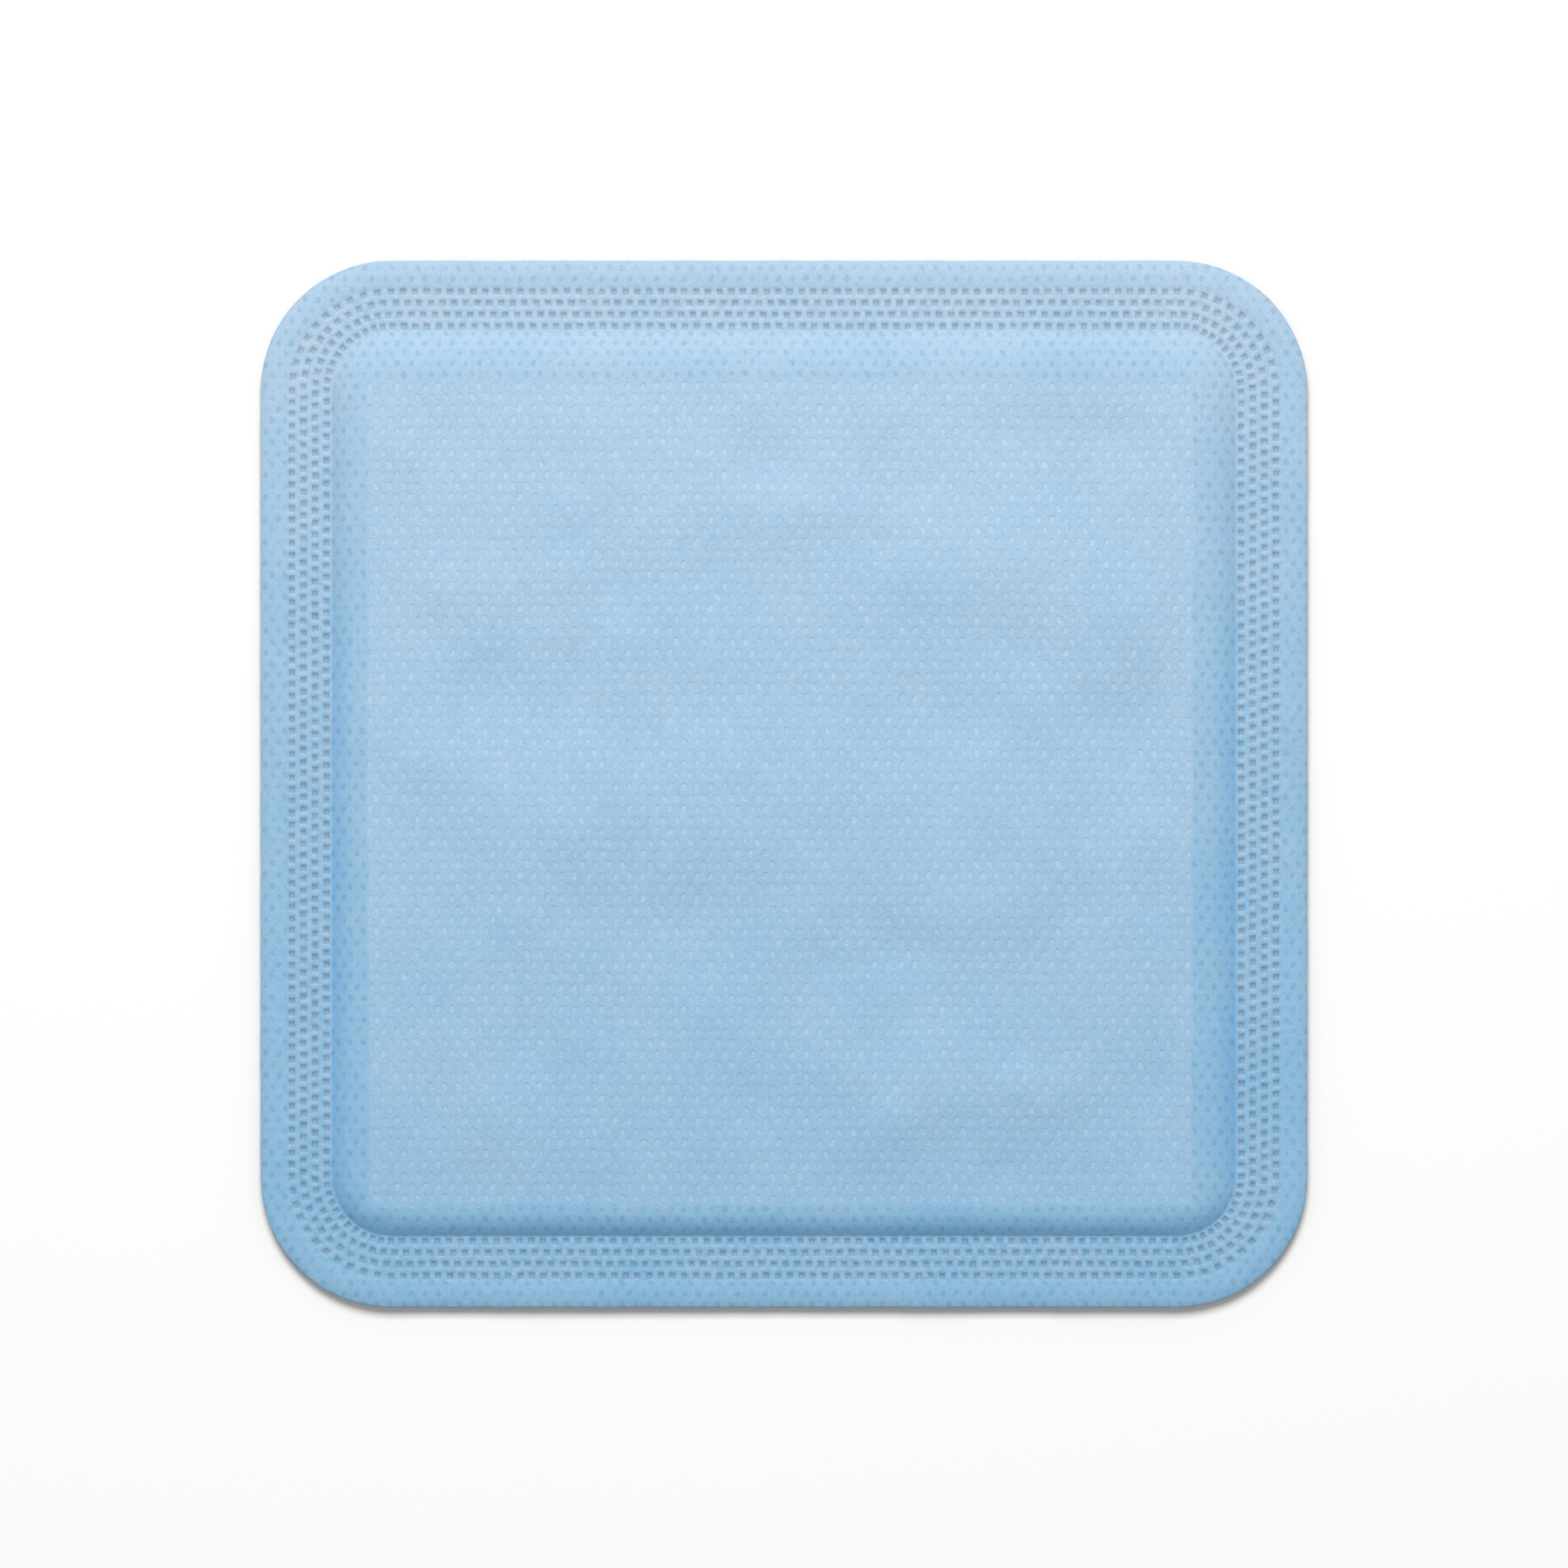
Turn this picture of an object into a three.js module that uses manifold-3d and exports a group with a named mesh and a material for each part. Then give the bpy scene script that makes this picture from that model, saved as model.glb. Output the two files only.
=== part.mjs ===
// Super absorbent wound dressing: a square, heat-sealed pad of two nonwoven sheets round an absorbent core.
//
// The blue backing sheet is on top and the wound contact sheet lies on the table. Between the cut edge and
// the pocket, four rows of small square dots are hot-pressed through both sheets, so the pad is one sealed piece.
//
// Millimetres, +Z up. The origin is under the middle of the pad, on the surface that it rests on.
import * as THREE from 'three';
import { mergeGeometries, mergeVertices } from 'three/addons/utils/BufferGeometryUtils.js';
import Module from 'manifold-3d';

// Across the pad, from the middle out to the cut edge
const coreSize = 98.8; // the square absorbent core
const coreCornerRadius = 2.4;
const coreShiftX = -0.4; // the core lies a little off the middle of its pocket
const coreShiftY = -1.2;
const pocketEase = 4.58; // from the core's edge to the seal
const pocketCornerRadius = 7.1;
const sealMargin = 0.25; // plain border of the seal on each side of its dots
const lipWidth = 3.1; // the free lip outside the seal

// Seal dots
const dotRows = 4;
const dotRowPitch = 1.38; // from one row to the next
const dotPitch = 2; // along a row, on the straight sides, where a real seal has about 1.4
const dotCornerSteps = 8; // dots round each corner
const dotRowShift = 0.36; // each row in starts this share of a pitch further on
const dotSide = 0.78; // of a dot's square mouth
const dotFloor = 0.3; // what is left of both sheets under a dot

// Heights
const pocketBelow = 1.2; // how far the pocket hangs below the lip
const lipThickness = 0.9;
const lipEdgeDrop = 0.12; // the cut edge is softened by this much, above and below
const lipEdgeWidth = 0.2; // and over this width
const lipSlope = 0.45; // the lip runs down to the seal over this width
const sealThickness = 0.6;
const pocketAbove = 1.7; // from the seal up to the backing at the core's edge
const crownRise = 0.5; // from the core's edge up to the middle of the pad

// Rounding of the pocket's shoulders: 1 is a straight slope, and more is a fuller, softer shoulder
const shoulderFullness = 2.4;

// Facets
const cornerSteps = 8;
const sideSteps = 4;
const backingShoulderSteps = 6;
const contactShoulderSteps = 3;
const crownSteps = 3;
const mergeDistance = 1e-4; // points closer than this are one point

// Sizes that follow from the ones above
const sealWidth = (dotRows - 1) * dotRowPitch + dotSide + 2 * sealMargin;
const borderWidth = lipWidth + sealWidth; // lip and seal together
const halfPocket = coreSize / 2 + pocketEase;
const halfPad = halfPocket + borderWidth;
const padCornerRadius = pocketCornerRadius + borderWidth;
const firstDotRow = lipWidth + sealMargin + dotSide / 2; // from the cut edge
const dotDepth = sealThickness - dotFloor;
const lipBottom = pocketBelow;
const lipTop = lipBottom + lipThickness;
const sealBottom = lipBottom + (lipThickness - sealThickness) / 2;
const sealTop = sealBottom + sealThickness;
const crownTop = sealTop + pocketAbove + crownRise;

// One closed outline: a square with round corners, given by its half width, corner radius and centre
const outline = (half, radius, x = 0, y = 0) => ({ half, radius, x, y });

// The pad's own outline, moved in from the cut edge
const padOutline = (inset) => outline(halfPad - inset, padCornerRadius - inset);

const pocketOutline = outline(halfPocket, pocketCornerRadius);
const coreOutline = outline(coreSize / 2, coreCornerRadius, coreShiftX, coreShiftY);

// The outline that lies a share of the way from one outline to another
function between(a, b, share) {
  const mix = THREE.MathUtils.lerp;
  return outline(
    mix(a.half, b.half, share),
    mix(a.radius, b.radius, share),
    mix(a.x, b.x, share),
    mix(a.y, b.y, share),
  );
}

// A smaller copy of an outline about its own centre
function shrunk(o, share) {
  return outline(o.half * share, o.radius * share, o.x, o.y);
}

// The points of an outline at one height, counterclockwise from the right-hand side
function ringPoints({ shape, z }) {
  const points = [];
  const straight = shape.half - shape.radius;
  for (let quarter = 0; quarter < 4; quarter++) {
    const turn = (quarter * Math.PI) / 2;
    const side = [];
    for (let i = 0; i < sideSteps; i++) {
      side.push(new THREE.Vector2(shape.half, THREE.MathUtils.lerp(-straight, straight, i / sideSteps)));
    }
    for (let i = 0; i < cornerSteps; i++) {
      const angle = (i / cornerSteps) * (Math.PI / 2);
      side.push(
        new THREE.Vector2(
          straight + shape.radius * Math.cos(angle),
          straight + shape.radius * Math.sin(angle),
        ),
      );
    }
    const origin = new THREE.Vector2(0, 0);
    for (const p of side) {
      p.rotateAround(origin, turn);
      points.push(new THREE.Vector3(p.x + shape.x, p.y + shape.y, z));
    }
  }
  return points;
}

// Height of a rounded shoulder: 0 at its foot and 1 at its top, steepest at the foot and level at the top
function shoulder(share) {
  return 1 - (1 - share) ** shoulderFullness;
}

// Even shares of the way from 0 to 1, without the 0
function evenShares(steps) {
  return Array.from({ length: steps }, (_, i) => (i + 1) / steps);
}

// The wound contact side, from the middle out to the cut edge
function undersideRings() {
  const rings = [{ shape: coreOutline, z: 0 }];
  for (const share of evenShares(contactShoulderSteps).reverse().slice(1)) {
    rings.push({
      shape: between(pocketOutline, coreOutline, share),
      z: sealBottom * (1 - shoulder(share)),
    });
  }
  rings.push({ shape: pocketOutline, z: sealBottom });
  rings.push({ shape: padOutline(lipWidth), z: sealBottom });
  rings.push({ shape: padOutline(lipWidth - lipSlope), z: lipBottom });
  rings.push({ shape: padOutline(lipEdgeWidth), z: lipBottom });
  return rings;
}

// The backing side, from the cut edge up over the pocket to the middle
function backingRings() {
  const rings = [
    { shape: padOutline(0), z: lipBottom + lipEdgeDrop },
    { shape: padOutline(0), z: lipTop - lipEdgeDrop },
    { shape: padOutline(lipEdgeWidth), z: lipTop },
    { shape: padOutline(lipWidth - lipSlope), z: lipTop },
    { shape: padOutline(lipWidth), z: sealTop },
    { shape: pocketOutline, z: sealTop },
  ];
  for (const share of evenShares(backingShoulderSteps)) {
    rings.push({
      shape: between(pocketOutline, coreOutline, share),
      z: sealTop + pocketAbove * shoulder(share),
    });
  }
  for (let i = 1; i < crownSteps; i++) {
    const share = 1 - i / crownSteps;
    rings.push({ shape: shrunk(coreOutline, share), z: crownTop - crownRise * share ** 2 });
  }
  return rings;
}

// A closed skin through a stack of rings, with a point in the middle of each end
function loft(rings, startMiddle, endMiddle) {
  const loops = rings.map(ringPoints);
  const size = loops[0].length;
  const points = [startMiddle, ...loops.flat(), endMiddle];
  const last = points.length - 1;
  const at = (ring, i) => 1 + ring * size + (i % size);
  const faces = [];
  for (let i = 0; i < size; i++) {
    faces.push(0, at(0, i + 1), at(0, i));
    faces.push(last, at(loops.length - 1, i), at(loops.length - 1, i + 1));
  }
  for (let ring = 0; ring + 1 < loops.length; ring++) {
    for (let i = 0; i < size; i++) {
      faces.push(at(ring, i), at(ring, i + 1), at(ring + 1, i + 1));
      faces.push(at(ring, i), at(ring + 1, i + 1), at(ring + 1, i));
    }
  }
  const geometry = new THREE.BufferGeometry().setFromPoints(points);
  geometry.setIndex(faces);
  return geometry;
}

// The tool that presses one dot: a four-sided point, its square mouth level with the seal. It stands a little
// out of the seal, so that it cuts cleanly.
function dotPunch() {
  const reach = dotDepth / 6;
  const length = dotDepth + reach;
  const mouthRadius = dotSide / Math.SQRT2;
  const punch = new THREE.ConeGeometry((mouthRadius * length) / dotDepth, length, 4, 1, false, Math.PI / 4);
  punch.rotateX(-Math.PI / 2);
  punch.translate(0, 0, sealTop + reach - length / 2);
  punch.deleteAttribute('normal');
  punch.deleteAttribute('uv');
  return punch;
}

// The dots of one row, clockwise from the left end of the far side. The same number of dots goes round in
// every row, so they fan out round the corners, where a dot is as wide as its share of the bend.
function dotsOnRow(row, punch) {
  const { half, radius } = padOutline(firstDotRow + row * dotRowPitch);
  const straight = half - radius;
  const sideDots = Math.round((2 * straight) / dotPitch);
  const quarterDots = sideDots + dotCornerSteps;
  const cornerDotAngle = Math.PI / 2 / dotCornerSteps;
  const cornerStretch = (radius * cornerDotAngle) / dotPitch;
  const dots = [];
  for (let i = 0; i < 4 * quarterDots; i++) {
    const quarter = Math.floor(i / quarterDots);
    const along = (i % quarterDots) + ((row * dotRowShift) % 1);
    const bend = Math.max(along - sideDots, 0) * cornerDotAngle;
    const x = THREE.MathUtils.lerp(-straight, straight, Math.min(along / sideDots, 1));
    const dot = punch.clone();
    dot.scale(bend > 0 ? cornerStretch : 1, 1, 1);
    dot.rotateZ(-bend);
    dot.translate(x + radius * Math.sin(bend), straight + radius * Math.cos(bend), 0);
    dot.rotateZ((-quarter * Math.PI) / 2);
    dots.push(dot);
  }
  return dots;
}

// Every dot of the seal, row by row from the outside in
function sealDots() {
  const punch = dotPunch();
  const rows = Array.from({ length: dotRows }, (_, row) => dotsOnRow(row, punch));
  return mergeGeometries(rows.flat());
}

const wasm = await Module();
wasm.setup();

function toSolid(geometry) {
  const merged = mergeVertices(geometry, mergeDistance);
  return new wasm.Manifold(
    new wasm.Mesh({
      numProp: 3,
      vertProperties: merged.attributes.position.array,
      triVerts: new Uint32Array(merged.index.array),
    }),
  );
}

function toGeometry(solid) {
  const mesh = solid.getMesh();
  const geometry = new THREE.BufferGeometry();
  geometry.setAttribute('position', new THREE.BufferAttribute(mesh.vertProperties, mesh.numProp));
  geometry.setIndex(new THREE.BufferAttribute(mesh.triVerts, 1));
  geometry.computeVertexNormals();
  return geometry;
}

// The sealed pad: one skin over both sides, with the seal dots pressed into the backing
function dressing() {
  const skin = loft(
    [...undersideRings(), ...backingRings()],
    new THREE.Vector3(coreShiftX, coreShiftY, 0),
    new THREE.Vector3(coreShiftX, coreShiftY, crownTop),
  );
  const pressed = toSolid(skin).subtract(toSolid(sealDots()));
  const nonwoven = new THREE.MeshStandardMaterial({
    color: new THREE.Color().setRGB(0.62, 0.77, 0.89, THREE.SRGBColorSpace),
    roughness: 0.85,
    metalness: 0,
  });
  const mesh = new THREE.Mesh(toGeometry(pressed), nonwoven);
  mesh.name = 'dressing';
  return mesh;
}

const part = new THREE.Group();
part.add(dressing());

export default part;
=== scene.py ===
# %% [markdown]
# # A super absorbent wound dressing
#
# The real object is a flat, soft square: a blue liquid-repellent sheet on top, a white sheet against the
# wound, and a pad of fluff and absorbent grains between them. A hot tool welds the two sheets together in
# four rows of small square dots all the way round, and the square is then cut out of the web.
#
# The notebook builds it in that order. First come the measured sizes, then the two sheets as real meshes,
# then their finishes, and last the light, the table and the camera.
#
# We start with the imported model. It is the fixed frame that everything below has to fit.

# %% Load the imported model
import math
import bmesh
import bpy
import numpy as np
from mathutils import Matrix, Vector


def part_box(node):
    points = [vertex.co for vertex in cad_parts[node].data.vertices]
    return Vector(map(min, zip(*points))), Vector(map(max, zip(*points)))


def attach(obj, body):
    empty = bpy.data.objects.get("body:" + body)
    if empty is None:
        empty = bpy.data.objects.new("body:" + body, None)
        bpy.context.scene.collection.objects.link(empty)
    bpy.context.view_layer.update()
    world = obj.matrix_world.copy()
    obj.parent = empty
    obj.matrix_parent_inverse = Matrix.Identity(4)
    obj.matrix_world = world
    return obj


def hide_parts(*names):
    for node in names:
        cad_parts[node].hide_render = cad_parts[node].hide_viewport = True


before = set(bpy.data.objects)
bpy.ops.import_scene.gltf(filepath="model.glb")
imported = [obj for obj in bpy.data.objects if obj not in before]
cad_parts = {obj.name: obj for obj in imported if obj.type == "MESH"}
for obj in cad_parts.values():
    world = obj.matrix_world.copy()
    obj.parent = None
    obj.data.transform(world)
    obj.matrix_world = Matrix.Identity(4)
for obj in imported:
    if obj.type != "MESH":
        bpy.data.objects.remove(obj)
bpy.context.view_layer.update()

pad_low, pad_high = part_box("dressing")
print("The packed pad measures", [round(1000 * side, 2) for side in pad_high - pad_low], "mm")

# %% [markdown]
# ## Sizes
#
# Blender works in metres, but a dressing is easier to think about in millimetres. So every size here is in
# millimetres, and a mesh is scaled once, when it is made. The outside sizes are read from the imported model,
# so the drawing can't drift away from it. The rest are the sizes of the real parts.

# %% Sizes in millimetres
MM = 0.001
PAD_SIDE = (pad_high.x - pad_low.x) / MM
PAD_HEIGHT = (pad_high.z - pad_low.z) / MM
PAD_CORNER = 15.6

CORE_SIDE = 98.8
CORE_CORNER = 2.4
CORE_SHIFT = np.array([-0.4, -1.2])
POCKET_FOOT = 8.52

DOT_ROWS = 4
DOT_ROW_PITCH = 1.38
FIRST_ROW = 3.74
SIDE_DOTS = 67
CORNER_DOTS = 11
ROW_STAGGER = 0.36

LIP_BOTTOM = 1.2
LIP_TOP = 2.1
SEAL_TOP = 1.95
SHEETS_MEET = 1.62
CROWN_RISE = 0.5
POCKET_RISE = PAD_HEIGHT - CROWN_RISE - SEAL_TOP

SHOULDER_RUN = (PAD_SIDE - CORE_SIDE) / 2 - POCKET_FOOT
SHOULDER_FULLNESS = 2.4

STRAIGHT = PAD_SIDE / 2 - PAD_CORNER
QUARTER_DOTS = SIDE_DOTS + CORNER_DOTS
DOTS_ROUND = 4 * QUARTER_DOTS
STRAIGHT_DOT_PITCH = 2 * STRAIGHT / SIDE_DOTS
print("Dots in each row:", DOTS_ROUND, "and in the whole seal:", DOTS_ROUND * DOT_ROWS)

# %% [markdown]
# ## Going round the border
#
# Everything on the border runs round the pad: the cut edge, the rows of dots, the foot of the pocket. So we
# want a coordinate that runs round too. `way` counts seal dots, clockwise from the middle of one corner, and
# `inset` is the distance in from the cut edge. One small function turns the two into x and y. With it a row
# of dots is a straight line, and the round corners take care of themselves.

# %% A coordinate that runs round the pad
def border_place(way, inset):
    """x and y of a point, from dots counted round the pad and millimetres in from the cut edge."""
    way = np.asarray(way, float) % DOTS_ROUND
    quarter = np.floor(way / QUARTER_DOTS)
    along = way - quarter * QUARTER_DOTS - CORNER_DOTS / 2
    radius = PAD_CORNER - np.asarray(inset, float)
    past = np.where(along < 0, along, np.maximum(along - SIDE_DOTS, 0))
    bend = past / CORNER_DOTS * math.pi / 2
    x = STRAIGHT * (2 * np.clip(along / SIDE_DOTS, 0, 1) - 1) + radius * np.sin(bend)
    y = STRAIGHT + radius * np.cos(bend)
    turn = -quarter * math.pi / 2
    return np.stack([x * np.cos(turn) - y * np.sin(turn), x * np.sin(turn) + y * np.cos(turn)], -1)


def outwards(way):
    """The direction out of the pad, at right angles to its edge, one millimetre long."""
    return border_place(way, 0.0) - border_place(way, 1.0)


def ways_round(count):
    """Evenly counted places round the pad, as dots."""
    return np.arange(count) * DOTS_ROUND / count


def core_edge(count):
    """Evenly spaced points round the core's outline, from the same corner and the same way round."""
    straight = CORE_SIDE / 2 - CORE_CORNER
    arc = CORE_CORNER * math.pi / 2
    side = 2 * straight + arc
    walked = np.arange(count) / count * 4 * side
    quarter = np.floor(walked / side)
    along = walked - quarter * side - arc / 2
    past = np.where(along < 0, along, np.maximum(along - 2 * straight, 0))
    bend = past / CORE_CORNER
    x = np.clip(along, 0, 2 * straight) - straight + CORE_CORNER * np.sin(bend)
    y = straight + CORE_CORNER * np.cos(bend)
    turn = -quarter * math.pi / 2
    turned = np.stack([x * np.cos(turn) - y * np.sin(turn), x * np.sin(turn) + y * np.cos(turn)], -1)
    return turned + CORE_SHIFT


print("The middle of the far side's first row is at", border_place(QUARTER_DOTS / 2, FIRST_ROW).round(2))

# %% [markdown]
# ## A small kit for sheets
#
# A sheet is built like a spider's web: rings of points, each joined to the next. Where two rings have the
# same number of points, squares join them. Where a fine ring meets a coarse one, we start at the same way on
# both, walk along them together, and always step on the ring that lags behind. That zips them up with
# triangles and leaves no gap, so the fine mesh stays where the dots are, and the rest stays light.
#
# Each point also remembers where it lay in the flat web, before the web was pulled in over the core. The
# finish is drawn on the web, so its pattern isn't smeared where the sheet stands steep.

# %% Rings of points and how they are joined
class SheetMesh:
    """Collects rings of points and the faces between them."""

    def __init__(self, taken_up):
        self.points, self.faces, self.pressed, self.web, self.ways = [], [], [], [], []
        self.count = 0
        self.taken_up = taken_up

    def ring(self, ways, places, heights, pressed=0.0, pulled_in=0.0):
        """Adds one closed ring and returns the numbers of its points."""
        first = self.count
        self.ways.append(np.broadcast_to(ways, len(places)))
        self.points.append(np.column_stack([places, np.broadcast_to(heights, len(places))]))
        self.web.append(np.column_stack([places + pulled_in, np.zeros(len(places))]))
        self.pressed.append(np.broadcast_to(pressed, len(places)))
        self.count += len(places)
        return np.arange(first, self.count)

    def border_ring(self, ways, insets, heights, pressed=0.0, round_edge=0.0):
        """Adds a ring on the border, which the pocket has pulled in by all that it takes up."""
        pulled_in = outwards(ways) * (self.taken_up + round_edge)
        return self.ring(ways, border_place(ways, insets), heights, pressed, pulled_in)

    def join(self, outer, inner):
        """Joins two rings, with squares if they match and by zipping them if they don't."""
        if len(outer) == len(inner):
            after_outer, after_inner = np.roll(outer, -1), np.roll(inner, -1)
            self.faces += np.column_stack([outer, after_outer, after_inner, inner]).tolist()
            return
        ways = np.concatenate(self.ways)
        start, half_round = ways[outer[0]], DOTS_ROUND / 2
        ahead = (ways[inner] - start + half_round) % DOTS_ROUND - half_round
        first = np.abs(ahead).argmin()
        inner = np.roll(inner, -first)
        outer_walk = np.append((ways[outer] - start) % DOTS_ROUND, DOTS_ROUND)
        inner_walk = np.append((ways[inner] - ways[inner[0]]) % DOTS_ROUND, DOTS_ROUND) + ahead[first]
        i = j = 0
        while i < len(outer) or j < len(inner):
            a, b = outer[i % len(outer)], inner[j % len(inner)]
            if j == len(inner) or (i < len(outer) and outer_walk[i + 1] <= inner_walk[j + 1]):
                self.faces.append([a, outer[(i + 1) % len(outer)], b])
                i += 1
            else:
                self.faces.append([a, inner[(j + 1) % len(inner)], b])
                j += 1

    def join_all(self, rings):
        """Joins each ring to the next one."""
        for outer, inner in zip(rings, rings[1:]):
            self.join(outer, inner)

    def fill(self, rim, height_at):
        """Fills the inside of a four-cornered ring with an even net of squares."""
        steps = len(rim) // 4
        flat = np.concatenate(self.points)[rim, :2]
        top, right = flat[: steps + 1], flat[steps : 2 * steps + 1]
        bottom, left = flat[2 * steps : 3 * steps + 1][::-1], np.vstack([flat[3 * steps :], flat[:1]])[::-1]
        s, t = np.meshgrid(np.arange(steps + 1) / steps, np.arange(steps + 1) / steps, indexing="ij")
        s, t = s[..., None], t[..., None]
        net = (1 - t) * top[:, None] + t * bottom[:, None] + (1 - s) * left[None] + s * right[None]
        net -= (1 - s) * (1 - t) * top[0] + s * (1 - t) * top[-1]
        net -= (1 - s) * t * bottom[0] + s * t * bottom[-1]
        number = np.zeros((steps + 1, steps + 1), int)
        number[:, 0], number[-1, :] = rim[: steps + 1], rim[steps : 2 * steps + 1]
        number[:, -1] = rim[2 * steps : 3 * steps + 1][::-1]
        number[0, :] = np.append(rim[3 * steps :], rim[0])[::-1]
        inside = net[1:-1, 1:-1].reshape(-1, 2)
        number[1:-1, 1:-1] = self.ring(0.0, inside, height_at(inside)).reshape(steps - 1, steps - 1)
        squares = [number[:-1, :-1], number[1:, :-1], number[1:, 1:], number[:-1, 1:]]
        self.faces += np.stack(squares, -1).reshape(-1, 4).tolist()

    def make(self, name):
        """Turns the rings into a closed Blender mesh with its faces pointing out."""
        mesh = bpy.data.meshes.new(name)
        mesh.from_pydata((np.concatenate(self.points) * MM).tolist(), [], self.faces)
        pressed = mesh.attributes.new("pressed", "FLOAT", "POINT")
        pressed.data.foreach_set("value", np.concatenate(self.pressed).astype(np.float32))
        web = mesh.attributes.new("web", "FLOAT_VECTOR", "POINT")
        web.data.foreach_set("vector", np.concatenate(self.web).astype(np.float32).ravel())
        mesh.polygons.foreach_set("use_smooth", [True] * len(mesh.polygons))
        piece = bpy.data.objects.new(name, mesh)
        bpy.context.scene.collection.objects.link(piece)
        face_outwards(mesh)
        return piece


def face_outwards(mesh):
    """Turns every face of a closed mesh to point out of it."""
    work = bmesh.new()
    work.from_mesh(mesh)
    bmesh.ops.recalc_face_normals(work, faces=work.faces)
    work.to_mesh(mesh)
    work.free()


print("Each turn round the pad is", DOTS_ROUND, "steps of", round(STRAIGHT_DOT_PITCH, 2), "mm on its sides")

# %% [markdown]
# ## The shape of the pocket
#
# Fluff never lies perfectly even, so the top of a real pad has low lumps and hollows. They are what gives
# the sheet its soft, cloudy shading. A noise texture would do it, but lumps listed one by one follow the real
# one: each is a smooth hill or dip with a place, a reach and a height. The places are read from the photo,
# whose pixels are turned into millimetres by the width of the pad. Between them lie many small lumps, too
# fine to read off one by one, so those are strewn at random with a fixed seed.

# %% Lumps and hollows of the core
PHOTO_SIDE = 1920
PHOTO_PAD_WIDTH = 1282
MM_PER_PIXEL = PAD_SIDE / PHOTO_PAD_WIDTH

# across and down the photo in pixels, reach across and down in millimetres, height in millimetres
LUMPS = [
    (1380, 745, 9, 7, 0.75),
    (1395, 890, 8, 6, -0.60),
    (1150, 690, 12, 6, 0.65),
    (1245, 700, 8, 6, 0.30),
    (1090, 860, 12, 7, -0.45),
    (840, 1130, 8, 7, -0.65),
    (1120, 1190, 11, 9, -0.50),
    (715, 865, 10, 7, -0.50),
    (535, 945, 7, 6, 0.45),
    (590, 1385, 9, 6, 0.45),
    (1130, 1320, 12, 7, 0.55),
    (1380, 1350, 7, 8, -0.35),
    (1255, 1060, 9, 7, 0.40),
    (1250, 538, 10, 5, -0.40),
    (640, 610, 8, 9, 0.30),
    (870, 620, 7, 9, 0.28),
    (700, 1010, 8, 6, 0.42),
    (960, 960, 9, 8, 0.35),
]

SMALL_LUMPS = 340
SMALL_REACH = (2.2, 4.2)
SMALL_RISE = 0.13
LUMPS_FADE_OVER = 6

strewn = np.random.RandomState(12)
small_places = strewn.uniform(-CORE_SIDE / 2, CORE_SIDE / 2, (SMALL_LUMPS, 2))
small_reaches = strewn.uniform(*SMALL_REACH, SMALL_LUMPS)
small_rises = strewn.normal(0, SMALL_RISE, SMALL_LUMPS)


def from_photo(across, down):
    """A place on the pad in millimetres, from a pixel of the photo."""
    return (across - PHOTO_SIDE / 2) * MM_PER_PIXEL, (PHOTO_SIDE / 2 - down) * MM_PER_PIXEL


def lumps_at(places):
    """How far the core lifts or drops the sheet, fading out at the core's edge."""
    height = np.zeros(len(places))
    for across, down, reach_x, reach_y, rise in LUMPS:
        x, y = from_photo(across, down)
        far = ((places[:, 0] - x) / reach_x) ** 2 + ((places[:, 1] - y) / reach_y) ** 2
        height += rise * np.exp(-far)
    for place, reach, rise in zip(small_places, small_reaches, small_rises):
        height += rise * np.exp(-((places - place) ** 2).sum(axis=1) / reach**2)
    from_middle = np.abs(places - CORE_SHIFT).max(axis=1)
    fade = np.clip((CORE_SIDE / 2 - from_middle) / LUMPS_FADE_OVER, 0, 1)
    return height * fade * fade * (3 - 2 * fade)


lumps_across = lumps_at(np.column_stack([np.linspace(-45, 45, 181), np.zeros(181)])).round(2)
print("Across the middle the lumps run from", lumps_across.min(), "to", lumps_across.max(), "mm")

# %% [markdown]
# Under the lumps lies the plain form: a shoulder that is steep at its foot and level at its top, and a crown
# that rises a little more to the middle. The crown's level lines are squares with round corners, like the
# outline of the core.

# %% Shoulder and crown
CROWN_SQUARENESS = 6


def shoulder(share):
    """0 at the foot of a shoulder and 1 at its top: steepest at the foot and level at the top."""
    return 1 - (1 - share) ** SHOULDER_FULLNESS


def crown_at(places):
    """Height of the backing over the core."""
    out = np.abs((places - CORE_SHIFT) / (CORE_SIDE / 2))
    from_middle = np.minimum((out**CROWN_SQUARENESS).sum(axis=1) ** (1 / CROWN_SQUARENESS), 1)
    return PAD_HEIGHT - CROWN_RISE * from_middle**2 + lumps_at(places)


print("The shoulder rises", round(POCKET_RISE, 2), "mm over", round(SHOULDER_RUN, 2), "mm")

# %% [markdown]
# ## Soft irregularity
#
# Cut cloth is never ruler-straight. A few slow waves round the border are enough: each has its own whole
# number of turns, so the wave closes on itself. The seed is fixed, so each run gives the same dressing.

# %% Slow waves round the border
waves = np.random.RandomState(7)


def slow_wave(way, turns, height):
    """A gentle closed wave round the pad, made of several whole turns."""
    angle = np.asarray(way) / DOTS_ROUND * 2 * math.pi
    total = np.zeros_like(angle)
    for turn in turns:
        total += waves.uniform(0.5, 1) * np.sin(turn * angle + waves.uniform(0, 2 * math.pi))
    return height * total / len(turns)


edge_length = 4 * (2 * STRAIGHT + PAD_CORNER * math.pi / 2)
print("The cut edge is", round(edge_length), "mm long. 5 turns make waves of", round(edge_length / 5), "mm")

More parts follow.
